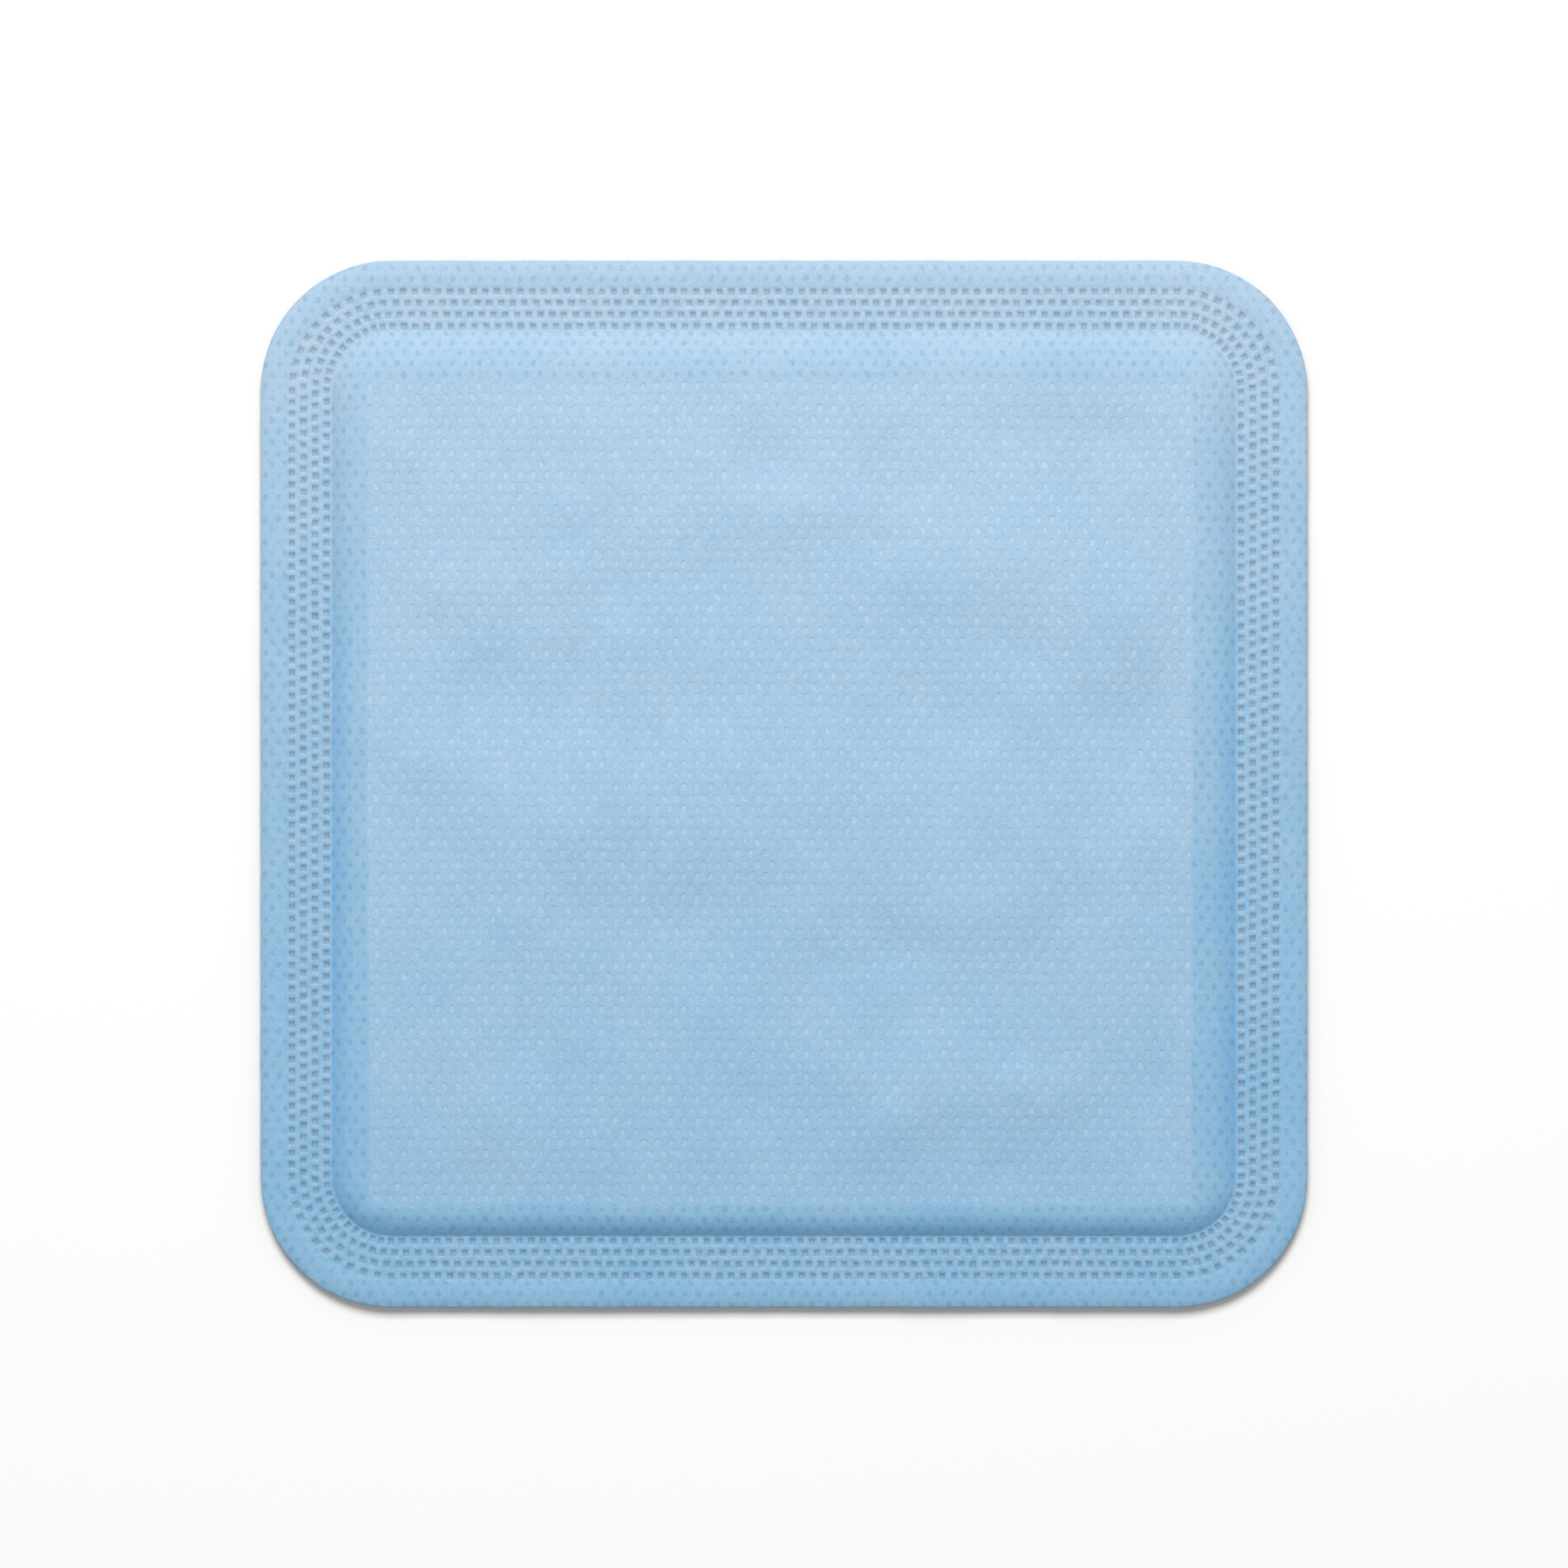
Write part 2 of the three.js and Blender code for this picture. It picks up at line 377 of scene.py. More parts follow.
# %% [markdown]
# ## The backing sheet
#
# The lip outside the seal is two sheets lying loosely on each other, so it puffs up and sags a little. The
# seal is pressed thin. Inside it the sheet climbs over the core in a soft, pillow-like shoulder.
#
# The dots could be a bump texture, but they are deep enough to catch real shadows and to show from the side,
# so they are modelled. Each dot is a little square net: land, rim, floor. From land to rim the cloth is only
# drawn down a little, which gives each dot its soft, light-catching mouth, and from rim to floor it drops
# steeply. The corners are rounded, and each dot is turned, shifted and sized a little at random, as a worn
# sealing tool leaves them.

# %% Lines that cross one dot
LAND, RIM, FLOOR = 0.53, 0.415, 0.33
ACROSS_DOT = np.array([-LAND, -RIM, -FLOOR, FLOOR, RIM, LAND])
DRAWN_DOWN = 0.2
SUNK = np.array([0, DRAWN_DOWN, 1, 1, DRAWN_DOWN, 0])
DOT_DEPTH = 0.22
DOT_SQUARENESS = 6
CORNER_NARROWING = 0.4
LAND_PUFF = 0.02

SIZE_LUCK = 0.035
TURN_LUCK = math.radians(3)
SLIDE_LUCK = 0.02
DEPTH_LUCK = (0.8, 1.05)
dot_luck = np.random.RandomState(21)

print("A dot is", 2 * RIM, "mm wide at its mouth,", 2 * FLOOR, "mm at its floor and", DOT_DEPTH, "mm deep")

# %% [markdown]
# All the dots of a row are made at once. Each line that crosses the dots gives one ring of the web, and on it
# every dot has its own six points and one more, half way to the next dot. In the corners each row has its own
# pitch, so the dots are narrowed or widened a little there to keep them nearly square.

# %% One row of dots


def press_dot_row(sheet, row):
    """The rings of one row of dots, from its outer side to its inner side."""
    dots = np.arange(DOTS_ROUND)[:, None]
    size = dot_luck.normal(1, SIZE_LUCK, (DOTS_ROUND, 1))
    turned = dot_luck.normal(0, TURN_LUCK, (DOTS_ROUND, 1))
    slid = dot_luck.normal(0, SLIDE_LUCK, (DOTS_ROUND, 2))
    depth = DOT_DEPTH * dot_luck.uniform(*DEPTH_LUCK, (DOTS_ROUND, 1))
    inset = FIRST_ROW + row * DOT_ROW_PITCH
    bend_share = (PAD_CORNER - inset) * math.pi / 2 / CORNER_DOTS / STRAIGHT_DOT_PITCH
    in_corner = (dots + row * ROW_STAGGER + 0.5) % QUARTER_DOTS
    stretched = np.abs(in_corner - QUARTER_DOTS / 2) > SIDE_DOTS / 2
    narrowing = np.where(stretched, bend_share**-CORNER_NARROWING, 1.0)
    rings = []
    for step, over in enumerate(ACROSS_DOT):
        on_dot = (np.maximum(np.abs(ACROSS_DOT), abs(over)) < LAND)[None]
        turn, slide = turned * on_dot, slid[:, :, None] * on_dot
        a = ACROSS_DOT[None] * np.where(on_dot, size, 1)
        b = over * np.where(on_dot, size, 1)
        square = np.maximum(np.abs(a), np.abs(b))
        round_square = (np.abs(a) ** DOT_SQUARENESS + np.abs(b) ** DOT_SQUARENESS) ** (1 / DOT_SQUARENESS)
        rounding = square / round_square
        rounding = np.where(on_dot, rounding, 1)
        a_turned = (a * np.cos(turn) - b * np.sin(turn)) * rounding + slide[:, 0]
        b_turned = (a * np.sin(turn) + b * np.cos(turn)) * rounding + slide[:, 1]
        ways = dots + 0.5 + row * ROW_STAGGER + a_turned * narrowing / STRAIGHT_DOT_PITCH
        sunk = np.minimum(SUNK[step], SUNK)[None] * depth
        between_ways = dots + row * ROW_STAGGER
        ways = np.hstack([between_ways, ways]).ravel()
        insets = np.hstack([np.full((DOTS_ROUND, 1), inset + over), inset + b_turned]).ravel()
        heights = np.hstack([np.full((DOTS_ROUND, 1), SEAL_TOP + LAND_PUFF), SEAL_TOP - sunk]).ravel()
        melted = (sunk / depth - DRAWN_DOWN) / (1 - DRAWN_DOWN)
        pressed = np.hstack([np.zeros((DOTS_ROUND, 1)), np.maximum(melted, 0)]).ravel()
        rings.append(sheet.border_ring(ways, insets, heights, pressed))
    return rings


def land_between_rows(sheet, row):
    """The puffed strip between one row of dots and the next."""
    inset = FIRST_ROW + (row + 0.5) * DOT_ROW_PITCH
    lines = np.hstack([[0], 0.5 + ACROSS_DOT / STRAIGHT_DOT_PITCH])
    ways = (np.arange(DOTS_ROUND)[:, None] + (row + 0.5) * ROW_STAGGER + lines[None]).ravel()
    return sheet.border_ring(ways, inset, SEAL_TOP + LAND_PUFF)


print("Each row of dots is", len(ACROSS_DOT), "rings of", DOTS_ROUND * (len(ACROSS_DOT) + 1), "points")

# %% [markdown]
# Now the whole upper sheet, ring by ring from the cut edge inwards, and then its inner face, which is
# coarser because nothing shows it. The two meet at the cut edge, so the sheet is a closed, thin shell.

# %% The backing sheet, ring by ring
RING_POINTS = 468
HIDDEN_POINTS = 156
SHEET_THICKNESS = 0.35
INNER_FACE = SHEETS_MEET + 0.03

# millimetres in from the cut edge, and above the lip's plain top
LIP_PROFILE = [
    (0.0, -0.12), (0.05, -0.04), (0.18, 0.0), (0.6, 0.07), (1.2, 0.09), (1.8, 0.05), (2.4, -0.03)]
LIP_END = 2.95
LIP_END_DROP = 0.11
LIP_SAG = 0.4
SAG_CURVE = 1.4

SHOULDER_STEPS = 12
STEP_CROWDING = 1.3
HIDDEN_START = 1.0
HIDDEN_STEPS = 5

FLUTTER_TURNS, FLUTTER_HEIGHT = (5, 8, 13, 19, 27), 0.16
RAGGED_TURNS, RAGGED_DEPTH = (31, 47, 71, 97), 0.05


def taken_up(share, rise):
    """Millimetres of web that the shoulder takes up between the core's edge and a share of its run."""
    shares = np.linspace(0, 1, 401)
    run, climb = SHOULDER_RUN * np.diff(shares), rise * np.diff(shoulder(shares))
    extra = np.append(np.cumsum((np.hypot(run, climb) - run)[::-1])[::-1], 0)
    return np.interp(share, shares, extra)


def rings_of_shoulder(sheet, count, steps, foot_inset, foot_height, rise):
    """Rings from the foot of the pocket up to the edge of the core."""
    ways = ways_round(count)
    foot, top = border_place(ways, foot_inset), core_edge(count)
    rings = []
    for step in range(1, steps + 1):
        share = (step / steps) ** STEP_CROWDING
        heights = foot_height + rise * shoulder(share)
        pulled_in = outwards(ways) * taken_up(share, abs(rise))
        rings.append(sheet.ring(ways, foot + (top - foot) * share, heights, 0.0, pulled_in))
    return rings


def looseness(inset):
    """1 at the cut edge, where the lip moves freely, and 0 where the seal holds it."""
    return np.clip(1 - inset / LIP_END, 0, 1)


def sag(inset):
    """How far the free lip hangs down, most at the cut edge."""
    return LIP_SAG * looseness(inset) ** SAG_CURVE


def add_inner_face(sheet, edge, face, rise, height_at):
    """The side of a sheet that nobody sees: in from its edge, up or down the shoulder, and filled."""
    ways = ways_round(HIDDEN_POINTS)
    foot = POCKET_FOOT + SHEET_THICKNESS
    rings = [edge, sheet.border_ring(ways, HIDDEN_START, face - sag(HIDDEN_START))]
    rings.append(sheet.border_ring(ways, foot, face))
    rings += rings_of_shoulder(sheet, HIDDEN_POINTS, HIDDEN_STEPS, foot, face, rise)
    sheet.join_all(rings)
    sheet.fill(rings[-1], height_at)


def make_backing_sheet():
    sheet = SheetMesh(taken_up(0, POCKET_RISE))
    ways = ways_round(RING_POINTS)
    flutter = slow_wave(ways, FLUTTER_TURNS, FLUTTER_HEIGHT)
    ragged = slow_wave(ways, RAGGED_TURNS, RAGGED_DEPTH)
    cut_edge = LIP_TOP - SHEETS_MEET
    under_edge = sheet.border_ring(ways, ragged, INNER_FACE + flutter - sag(0), round_edge=cut_edge)
    rings = [under_edge]
    for inset, lift in LIP_PROFILE:
        heights = LIP_TOP + lift + flutter * looseness(inset) - sag(inset)
        rings.append(sheet.border_ring(ways, inset + ragged, heights))
    rings.append(sheet.border_ring(ways, LIP_END, LIP_TOP - LIP_END_DROP))
    for row in range(DOT_ROWS):
        rings += press_dot_row(sheet, row)
        if row < DOT_ROWS - 1:
            rings.append(land_between_rows(sheet, row))
    rings.append(sheet.border_ring(ways, POCKET_FOOT, SEAL_TOP))
    rings += rings_of_shoulder(sheet, RING_POINTS, SHOULDER_STEPS, POCKET_FOOT, SEAL_TOP, POCKET_RISE)
    sheet.join_all(rings)
    sheet.fill(rings[-1], crown_at)
    inner_rise = SEAL_TOP + POCKET_RISE - SHEET_THICKNESS - INNER_FACE
    add_inner_face(
        sheet, under_edge, INNER_FACE, inner_rise, lambda places: crown_at(places) - SHEET_THICKNESS)
    return sheet.make("backing_sheet")


backing_sheet = make_backing_sheet()
print("Backing sheet:", len(backing_sheet.data.polygons), "faces")

# %% [markdown]
# ## The wound contact sheet
#
# The underside is a plain white sheet with the same border. It hangs below the seal by about a millimetre
# and is flat where it lies on the table. The sealing tool only presses from above, so the dots show here
# only faintly, and the finish adds them.

# %% The contact sheet, ring by ring
CONTACT_EDGE_GAP = 0.12
CONTACT_SHOULDER_STEPS = 8
CONTACT_FLUTTER_TURNS, CONTACT_FLUTTER_HEIGHT = (4, 9, 14, 21), 0.1
SEAL_BOTTOM = 1.35

# millimetres in from the sheet's own edge, and above the table
CONTACT_PROFILE = [
    (0.25, SHEETS_MEET), (0.0, SHEETS_MEET - 0.05),
    (0.0, LIP_BOTTOM + 0.1), (0.15, LIP_BOTTOM), (1.2, LIP_BOTTOM - 0.03), (2.4, LIP_BOTTOM + 0.03),
    (3.1, SEAL_BOTTOM), (5.8, SEAL_BOTTOM), (POCKET_FOOT, SEAL_BOTTOM)]


def make_contact_sheet():
    sheet = SheetMesh(taken_up(0, SEAL_BOTTOM))
    ways = ways_round(RING_POINTS)
    flutter = slow_wave(ways, CONTACT_FLUTTER_TURNS, CONTACT_FLUTTER_HEIGHT)
    rings = []
    for inset, height in CONTACT_PROFILE:
        heights = height + flutter * looseness(inset) - sag(inset)
        rings.append(sheet.border_ring(ways, inset + CONTACT_EDGE_GAP, heights))
    foot = POCKET_FOOT + CONTACT_EDGE_GAP
    rings += rings_of_shoulder(sheet, RING_POINTS, CONTACT_SHOULDER_STEPS, foot, SEAL_BOTTOM, -SEAL_BOTTOM)
    sheet.join_all(rings)
    sheet.fill(rings[-1], lambda places: np.zeros(len(places)))
    inner_rise = SHEET_THICKNESS - SHEETS_MEET
    add_inner_face(
        sheet, rings[0], SHEETS_MEET, inner_rise, lambda places: np.full(len(places), SHEET_THICKNESS))
    return sheet.make("contact_sheet")


contact_sheet = make_contact_sheet()
print("Contact sheet:", len(contact_sheet.data.polygons), "faces")


# %% [markdown]
# ## A kit for finishes
#
# A finish is a network of nodes: small sums that turn a place on the piece into a colour, a gloss and a
# relief. Written out one node at a time it is long and hard to read, so a few helpers let us write the same
# network as sums. `feed` joins an input to a number or to another node, and the rest build on it.

# %% Sums with nodes
def srgb(red, green, blue):
    """A colour as a paint program shows it, turned into the linear values that light needs."""
    share = np.array([red, green, blue]) / 255
    linear = np.where(share <= 0.04045, share / 12.92, ((share + 0.055) / 1.055) ** 2.4)
    return (*linear.tolist(), 1.0)


class Network:
    """The nodes of a material or of the world, written as sums."""

    def __init__(self, owner):
        owner.use_nodes = True
        self.nodes, self.links = owner.node_tree.nodes, owner.node_tree.links

    def feed(self, socket, value):
        if isinstance(value, bpy.types.NodeSocket):
            self.links.new(value, socket)
        else:
            socket.default_value = value

    def sum(self, operation, *values):
        node = self.nodes.new("ShaderNodeMath")
        node.operation = operation
        for socket, value in zip(node.inputs, values):
            self.feed(socket, value)
        return node.outputs[0]

    def centred(self, value, spread):
        """Turns 0 to 1 into a spread that lies half below 0 and half above it."""
        return self.sum("MULTIPLY_ADD", value, spread, -spread / 2)

    def band(self, value, start, full, fading, end):
        """0 up to start, 1 from full to fading, and 0 again from end on."""
        return self.sum("MULTIPLY", self.fade(value, start, full), self.fade(value, end, fading))

    def apart(self, vector):
        node = self.nodes.new("ShaderNodeSeparateXYZ")
        self.feed(node.inputs[0], vector)
        return node.outputs

    def together(self, x, y, z=0.0):
        node = self.nodes.new("ShaderNodeCombineXYZ")
        for socket, value in zip(node.inputs, (x, y, z)):
            self.feed(socket, value)
        return node.outputs[0]

    def vectors(self, operation, *values):
        node = self.nodes.new("ShaderNodeVectorMath")
        node.operation = operation
        for socket, value in zip(node.inputs, values):
            self.feed(socket, value)
        return node.outputs[0]

    def fade(self, value, start, end):
        """0 up to start, 1 from end on, and smooth in between; start may be the larger."""
        node = self.nodes.new("ShaderNodeMapRange")
        node.interpolation_type = "SMOOTHSTEP"
        self.feed(node.inputs["Value"], value)
        low, high = min(start, end), max(start, end)
        self.feed(node.inputs["From Min"], low)
        self.feed(node.inputs["From Max"], high)
        self.feed(node.inputs["To Min"], 0.0 if start < end else 1.0)
        self.feed(node.inputs["To Max"], 1.0 if start < end else 0.0)
        return node.outputs["Result"]

    def blend(self, share, first, second, way="MIX"):
        node = self.nodes.new("ShaderNodeMix")
        node.data_type, node.blend_type = "RGBA", way
        colours = [socket for socket in node.inputs if socket.type == "RGBA"]
        self.feed(node.inputs["Factor"], share)
        self.feed(colours[0], first)
        self.feed(colours[1], second)
        return next(socket for socket in node.outputs if socket.type == "RGBA")

    def seen_by_camera(self):
        """1 where the camera looks, directly or in a mirror or through glass, and 0 for all other light."""
        path = self.nodes.new("ShaderNodeLightPath").outputs
        direct_or_mirrored = self.sum("MAXIMUM", path["Is Camera Ray"], path["Is Glossy Ray"])
        return self.sum("MAXIMUM", direct_or_mirrored, path["Is Transmission Ray"])


print("Half grey, 128 of 255 in a paint program, is", round(srgb(128, 128, 128)[0], 3), "to light")

# %% [markdown]
# A finish is such a network with a shader at its end. It also knows two places: where a point is on the
# piece, and where it was on the flat web. Soft noise, the distance in from the cut edge, a count of the dots
# along the border and the relief are what the finish of a sealed sheet may need, so they live here.

# %% A finish, and the places that it knows
class Finish(Network):
    """A material being written, with its shader, and places on the piece and on its flat web."""

    def __init__(self, name):
        self.material = bpy.data.materials.new(name)
        super().__init__(self.material)
        self.shader = self.nodes["Principled BSDF"]
        self.web = self.attribute("web", "Vector")
        where = self.nodes.new("ShaderNodeTexCoord").outputs["Object"]
        self.place = self.vectors("DIVIDE", where, (MM, MM, MM))

    def attribute(self, name, kind="Fac"):
        node = self.nodes.new("ShaderNodeAttribute")
        node.attribute_name = name
        return node.outputs[kind]

    def cloud(self, size, detail=2.0, roughness=0.5, place=None, stretch=(1, 1, 1), turn=0.0):
        """Soft noise around 0.5 whose blotches are about size millimetres wide."""
        mapping = self.nodes.new("ShaderNodeMapping")
        mapping.vector_type = "TEXTURE"
        mapping.inputs["Rotation"].default_value[2] = turn
        mapping.inputs["Scale"].default_value = [size * share for share in stretch]
        self.feed(mapping.inputs["Vector"], place or self.web)
        node = self.nodes.new("ShaderNodeTexNoise")
        node.inputs["Scale"].default_value = 1.0
        node.inputs["Detail"].default_value = detail
        node.inputs["Roughness"].default_value = roughness
        self.feed(node.inputs["Vector"], mapping.outputs[0])
        return node.outputs[0]

    def inset(self):
        """Millimetres in from the cut edge, round corners and all."""
        x, y, _ = self.apart(self.place)
        past_x = self.sum("MAXIMUM", self.sum("SUBTRACT", self.sum("ABSOLUTE", x), STRAIGHT), 0.0)
        past_y = self.sum("MAXIMUM", self.sum("SUBTRACT", self.sum("ABSOLUTE", y), STRAIGHT), 0.0)
        from_corner = self.sum("SQRT", self.sum("ADD", self.sum("MULTIPLY", past_x, past_x),
                                                self.sum("MULTIPLY", past_y, past_y)))
        return self.sum("SUBTRACT", PAD_CORNER, from_corner)

    def dots_along(self):
        """Seal dots counted along the border, from the middle of the nearest side to the corner."""
        x, y, _ = self.apart(self.place)
        x, y = self.sum("ABSOLUTE", x), self.sum("ABSOLUTE", y)
        past_x = self.sum("MAXIMUM", self.sum("SUBTRACT", x, STRAIGHT), 0.0)
        past_y = self.sum("MAXIMUM", self.sum("SUBTRACT", y, STRAIGHT), 0.0)
        angle = self.sum("ARCTAN2", past_x, past_y)
        dots_per_turn = CORNER_DOTS / (math.pi / 2)
        on_far = self.sum("DIVIDE", self.sum("MINIMUM", x, STRAIGHT), STRAIGHT_DOT_PITCH)
        on_far = self.sum("MULTIPLY_ADD", angle, dots_per_turn, on_far)
        on_side = self.sum("DIVIDE", self.sum("MINIMUM", y, STRAIGHT), STRAIGHT_DOT_PITCH)
        on_side = self.sum("MULTIPLY_ADD", angle, -dots_per_turn, self.sum("ADD", on_side, CORNER_DOTS))
        beyond = self.sum("GREATER_THAN", angle, math.pi / 4)
        return self.sum("MULTIPLY_ADD", beyond, self.sum("SUBTRACT", on_side, on_far), on_far)

    def relief(self, height_mm, strength=1.0):
        """Feeds a height in millimetres to the shader as a relief."""
        node = self.nodes.new("ShaderNodeBump")
        node.inputs["Strength"].default_value = strength
        node.inputs["Distance"].default_value = MM
        self.feed(node.inputs["Height"], height_mm)
        self.feed(self.shader.inputs["Normal"], node.outputs[0])


print("A finish counts dots along the border, one for every", round(STRAIGHT_DOT_PITCH, 2), "mm of a side")

# %% [markdown]
# ## Bond points
#
# A spunbond nonwoven is a mat of endless filaments, held together where a heated roller with raised pins
# has melted it. The pins leave a regular field of small ovals, one row tilted to the left and the next to
# the right. We fold the plane into one cell of that field, as a tiler does: `floor` tells which cell we are
# in and `fract` where in the cell. A little noise pulls the field about, because a web stretches unevenly.

# %% The field of oval bond points
BOND_ACROSS = 1.626
BOND_DOWN = 1.327
BOND_FIRST_X, BOND_FIRST_Y = -8.69, 7.70
BOND_TILT = math.radians(66)
BOND_LONG, BOND_SHORT = 0.46, 0.34
BOND_STRAY_X, BOND_STRAY_Y = 0.14, 0.10
BOND_SIZE_LEAST, BOND_SIZE_SPREAD = 0.86, 0.24
WEB_PULL = 0.5
WEB_PULL_REACH = 20.0

print("Bond points in each square centimetre:", round(100 / (BOND_ACROSS * BOND_DOWN), 1))


def bond_points(finish):
    """How far each place is from the nearest bond point, 1 at its rim, and a random number for the point."""
    pull = finish.nodes.new("ShaderNodeTexNoise")
    pull.inputs["Scale"].default_value = 1 / WEB_PULL_REACH
    pull.inputs["Detail"].default_value = 1.0
    finish.feed(pull.inputs["Vector"], finish.web)
    pulled = finish.vectors("SUBTRACT", pull.outputs["Color"], (0.5, 0.5, 0.5))
    pulled = finish.vectors("MULTIPLY", pulled, (WEB_PULL, WEB_PULL, 0.0))
    x, y, _ = finish.apart(finish.vectors("ADD", finish.web, pulled))
    down = finish.sum("ADD", finish.sum("DIVIDE", finish.sum("SUBTRACT", y, BOND_FIRST_Y), BOND_DOWN), 0.5)
    row = finish.sum("FLOOR", down)
    odd = finish.sum("FLOORED_MODULO", row, 2.0)
    across = finish.sum("DIVIDE", finish.sum("SUBTRACT", x, BOND_FIRST_X), BOND_ACROSS)
    across = finish.sum("ADD", finish.sum("MULTIPLY_ADD", odd, 0.5, across), 0.5)
    column = finish.sum("FLOOR", across)
    luck = finish.nodes.new("ShaderNodeTexWhiteNoise")
    luck.noise_dimensions = "2D"
    finish.feed(luck.inputs["Vector"], finish.together(column, row))
    red, green, _ = finish.apart(luck.outputs["Color"])
    in_x = finish.sum("MULTIPLY", finish.sum("SUBTRACT", finish.sum("FRACT", across), 0.5), BOND_ACROSS)
    in_y = finish.sum("MULTIPLY", finish.sum("SUBTRACT", finish.sum("FRACT", down), 0.5), BOND_DOWN)
    in_x = finish.sum("ADD", in_x, finish.centred(red, BOND_STRAY_X))
    in_y = finish.sum("ADD", in_y, finish.centred(green, BOND_STRAY_Y))
    lean = finish.sum("MULTIPLY_ADD", odd, -2.0, 1.0)
    leaning_x = finish.sum("MULTIPLY", in_x, lean)
    along = finish.sum("ADD", finish.sum("MULTIPLY", leaning_x, math.cos(BOND_TILT)),
                       finish.sum("MULTIPLY", in_y, math.sin(BOND_TILT)))
    beside = finish.sum("SUBTRACT", finish.sum("MULTIPLY", in_y, math.cos(BOND_TILT)),
                        finish.sum("MULTIPLY", leaning_x, math.sin(BOND_TILT)))
    size = finish.sum("MULTIPLY_ADD", luck.outputs["Value"], BOND_SIZE_SPREAD, BOND_SIZE_LEAST)
    far = finish.sum("SQRT", finish.sum("ADD",
                     finish.sum("POWER", finish.sum("DIVIDE", along, BOND_LONG), 2.0),
                     finish.sum("POWER", finish.sum("DIVIDE", beside, BOND_SHORT), 2.0)))
    return finish.sum("DIVIDE", far, size), luck.outputs["Value"]


# %% [markdown]
# ## Filaments
#
# Between the bond points lie thousands of filaments, each thinner than a hair. From arm's length they only
# make the colour a little cloudy. Close by they show as fine crossing lines. Three noises stretched hard in
# different directions give the lines, and the strongest of the three at each place makes the mat.

# %% The mat of filaments
LINE_WIDTH = 0.09
LINE_STRETCH = 14
LINE_TURNS = (0.35, 1.45, 2.5)
LINE_BEND = 0.9

print("The lines lie at", [round(math.degrees(turn)) for turn in LINE_TURNS], "degrees")


def filaments(finish):
    """A mat of fine lines that lie every way, around 0.5."""
    bent = finish.nodes.new("ShaderNodeTexNoise")
    bent.inputs["Scale"].default_value = 0.6
    finish.feed(bent.inputs["Vector"], finish.web)
    bends = finish.vectors("MULTIPLY", bent.outputs["Color"], (LINE_BEND, LINE_BEND, LINE_BEND))
    place = finish.vectors("ADD", finish.web, bends)
    mat = None
    stretch = (1, LINE_STRETCH, LINE_STRETCH)
    for turn in LINE_TURNS:
        lines = finish.cloud(LINE_WIDTH, detail=1.5, place=place, stretch=stretch, turn=turn)
        ridge = finish.sum("ABSOLUTE", finish.sum("SUBTRACT", lines, 0.5))
        thread = finish.fade(ridge, 0.09, 0.0)
        mat = thread if mat is None else finish.sum("MAXIMUM", mat, thread)
    return mat


# %% [markdown]
# ## The finish of the backing
#
# The sheet is thin, so what lies behind it matters as much as its own blue. Over the core the white fluff
# shines through: the square is paler, with sharp edges, and the melted bond points are paler still, like
# little windows. Beside the core there is only the contact sheet behind it, so the blue is deeper and the
# same bond points look darker. In the seal dots both sheets have melted into a grey film, and its grey is
# made darker still as painted shade in the pits.

# %% Where the core, the seal and the dots lie
SEAL_START, SEAL_END = 3.1, 8.4
CORE_EDGE_WOBBLE = 1.2

backing = Finish("backing_nonwoven")
x, y, _ = backing.apart(backing.place)
middle_x, middle_y = CORE_SHIFT.tolist()
wobble = backing.centred(backing.cloud(9, 3), CORE_EDGE_WOBBLE)
out_x = backing.sum("ABSOLUTE", backing.sum("SUBTRACT", x, middle_x))
out_y = backing.sum("ABSOLUTE", backing.sum("SUBTRACT", y, middle_y))
out = backing.sum("ADD", backing.sum("MAXIMUM", out_x, out_y), wobble)
over_core = backing.fade(out, CORE_SIDE / 2 + 0.1, CORE_SIDE / 2 - 0.5)
beside_core = backing.sum("SUBTRACT", 1.0, over_core)
inset = backing.inset()
in_seal = backing.band(inset, SEAL_START - 0.3, SEAL_START + 0.3, SEAL_END - 0.2, SEAL_END + 0.2)
foot = backing.band(inset, POCKET_FOOT - 0.2, POCKET_FOOT + 0.2, POCKET_FOOT + 0.3, POCKET_FOOT + 3.2)
film = backing.fade(backing.attribute("pressed"), 0.25, 0.95)
print("The seal is", round(SEAL_END - SEAL_START, 1), "mm wide and the core shows", CORE_SIDE, "mm wide")

# %% [markdown]
# Next come the bond points and the mat between them. Over the core a point has a crisper rim than beside it.
# The seal has pressed most of them flat, and no two points melt equally well.

# %% Bond points and mat of the backing
far, luck = bond_points(backing)
loose = backing.sum("SUBTRACT", 1.0, backing.sum("MULTIPLY", in_seal, 0.75))
window = backing.blend(over_core, backing.fade(far, 1.08, 0.6), backing.fade(far, 1.12, 0.75))
point = backing.sum("MULTIPLY", window, loose)
point = backing.sum("MULTIPLY", point, backing.sum("MULTIPLY_ADD", luck, 1.0, 0.5))
point_over_core = backing.sum("MULTIPLY", point, over_core)
point_beside_core = backing.sum("MULTIPLY", point, beside_core)
mat = filaments(backing)
print("Nodes so far:", len(backing.nodes))
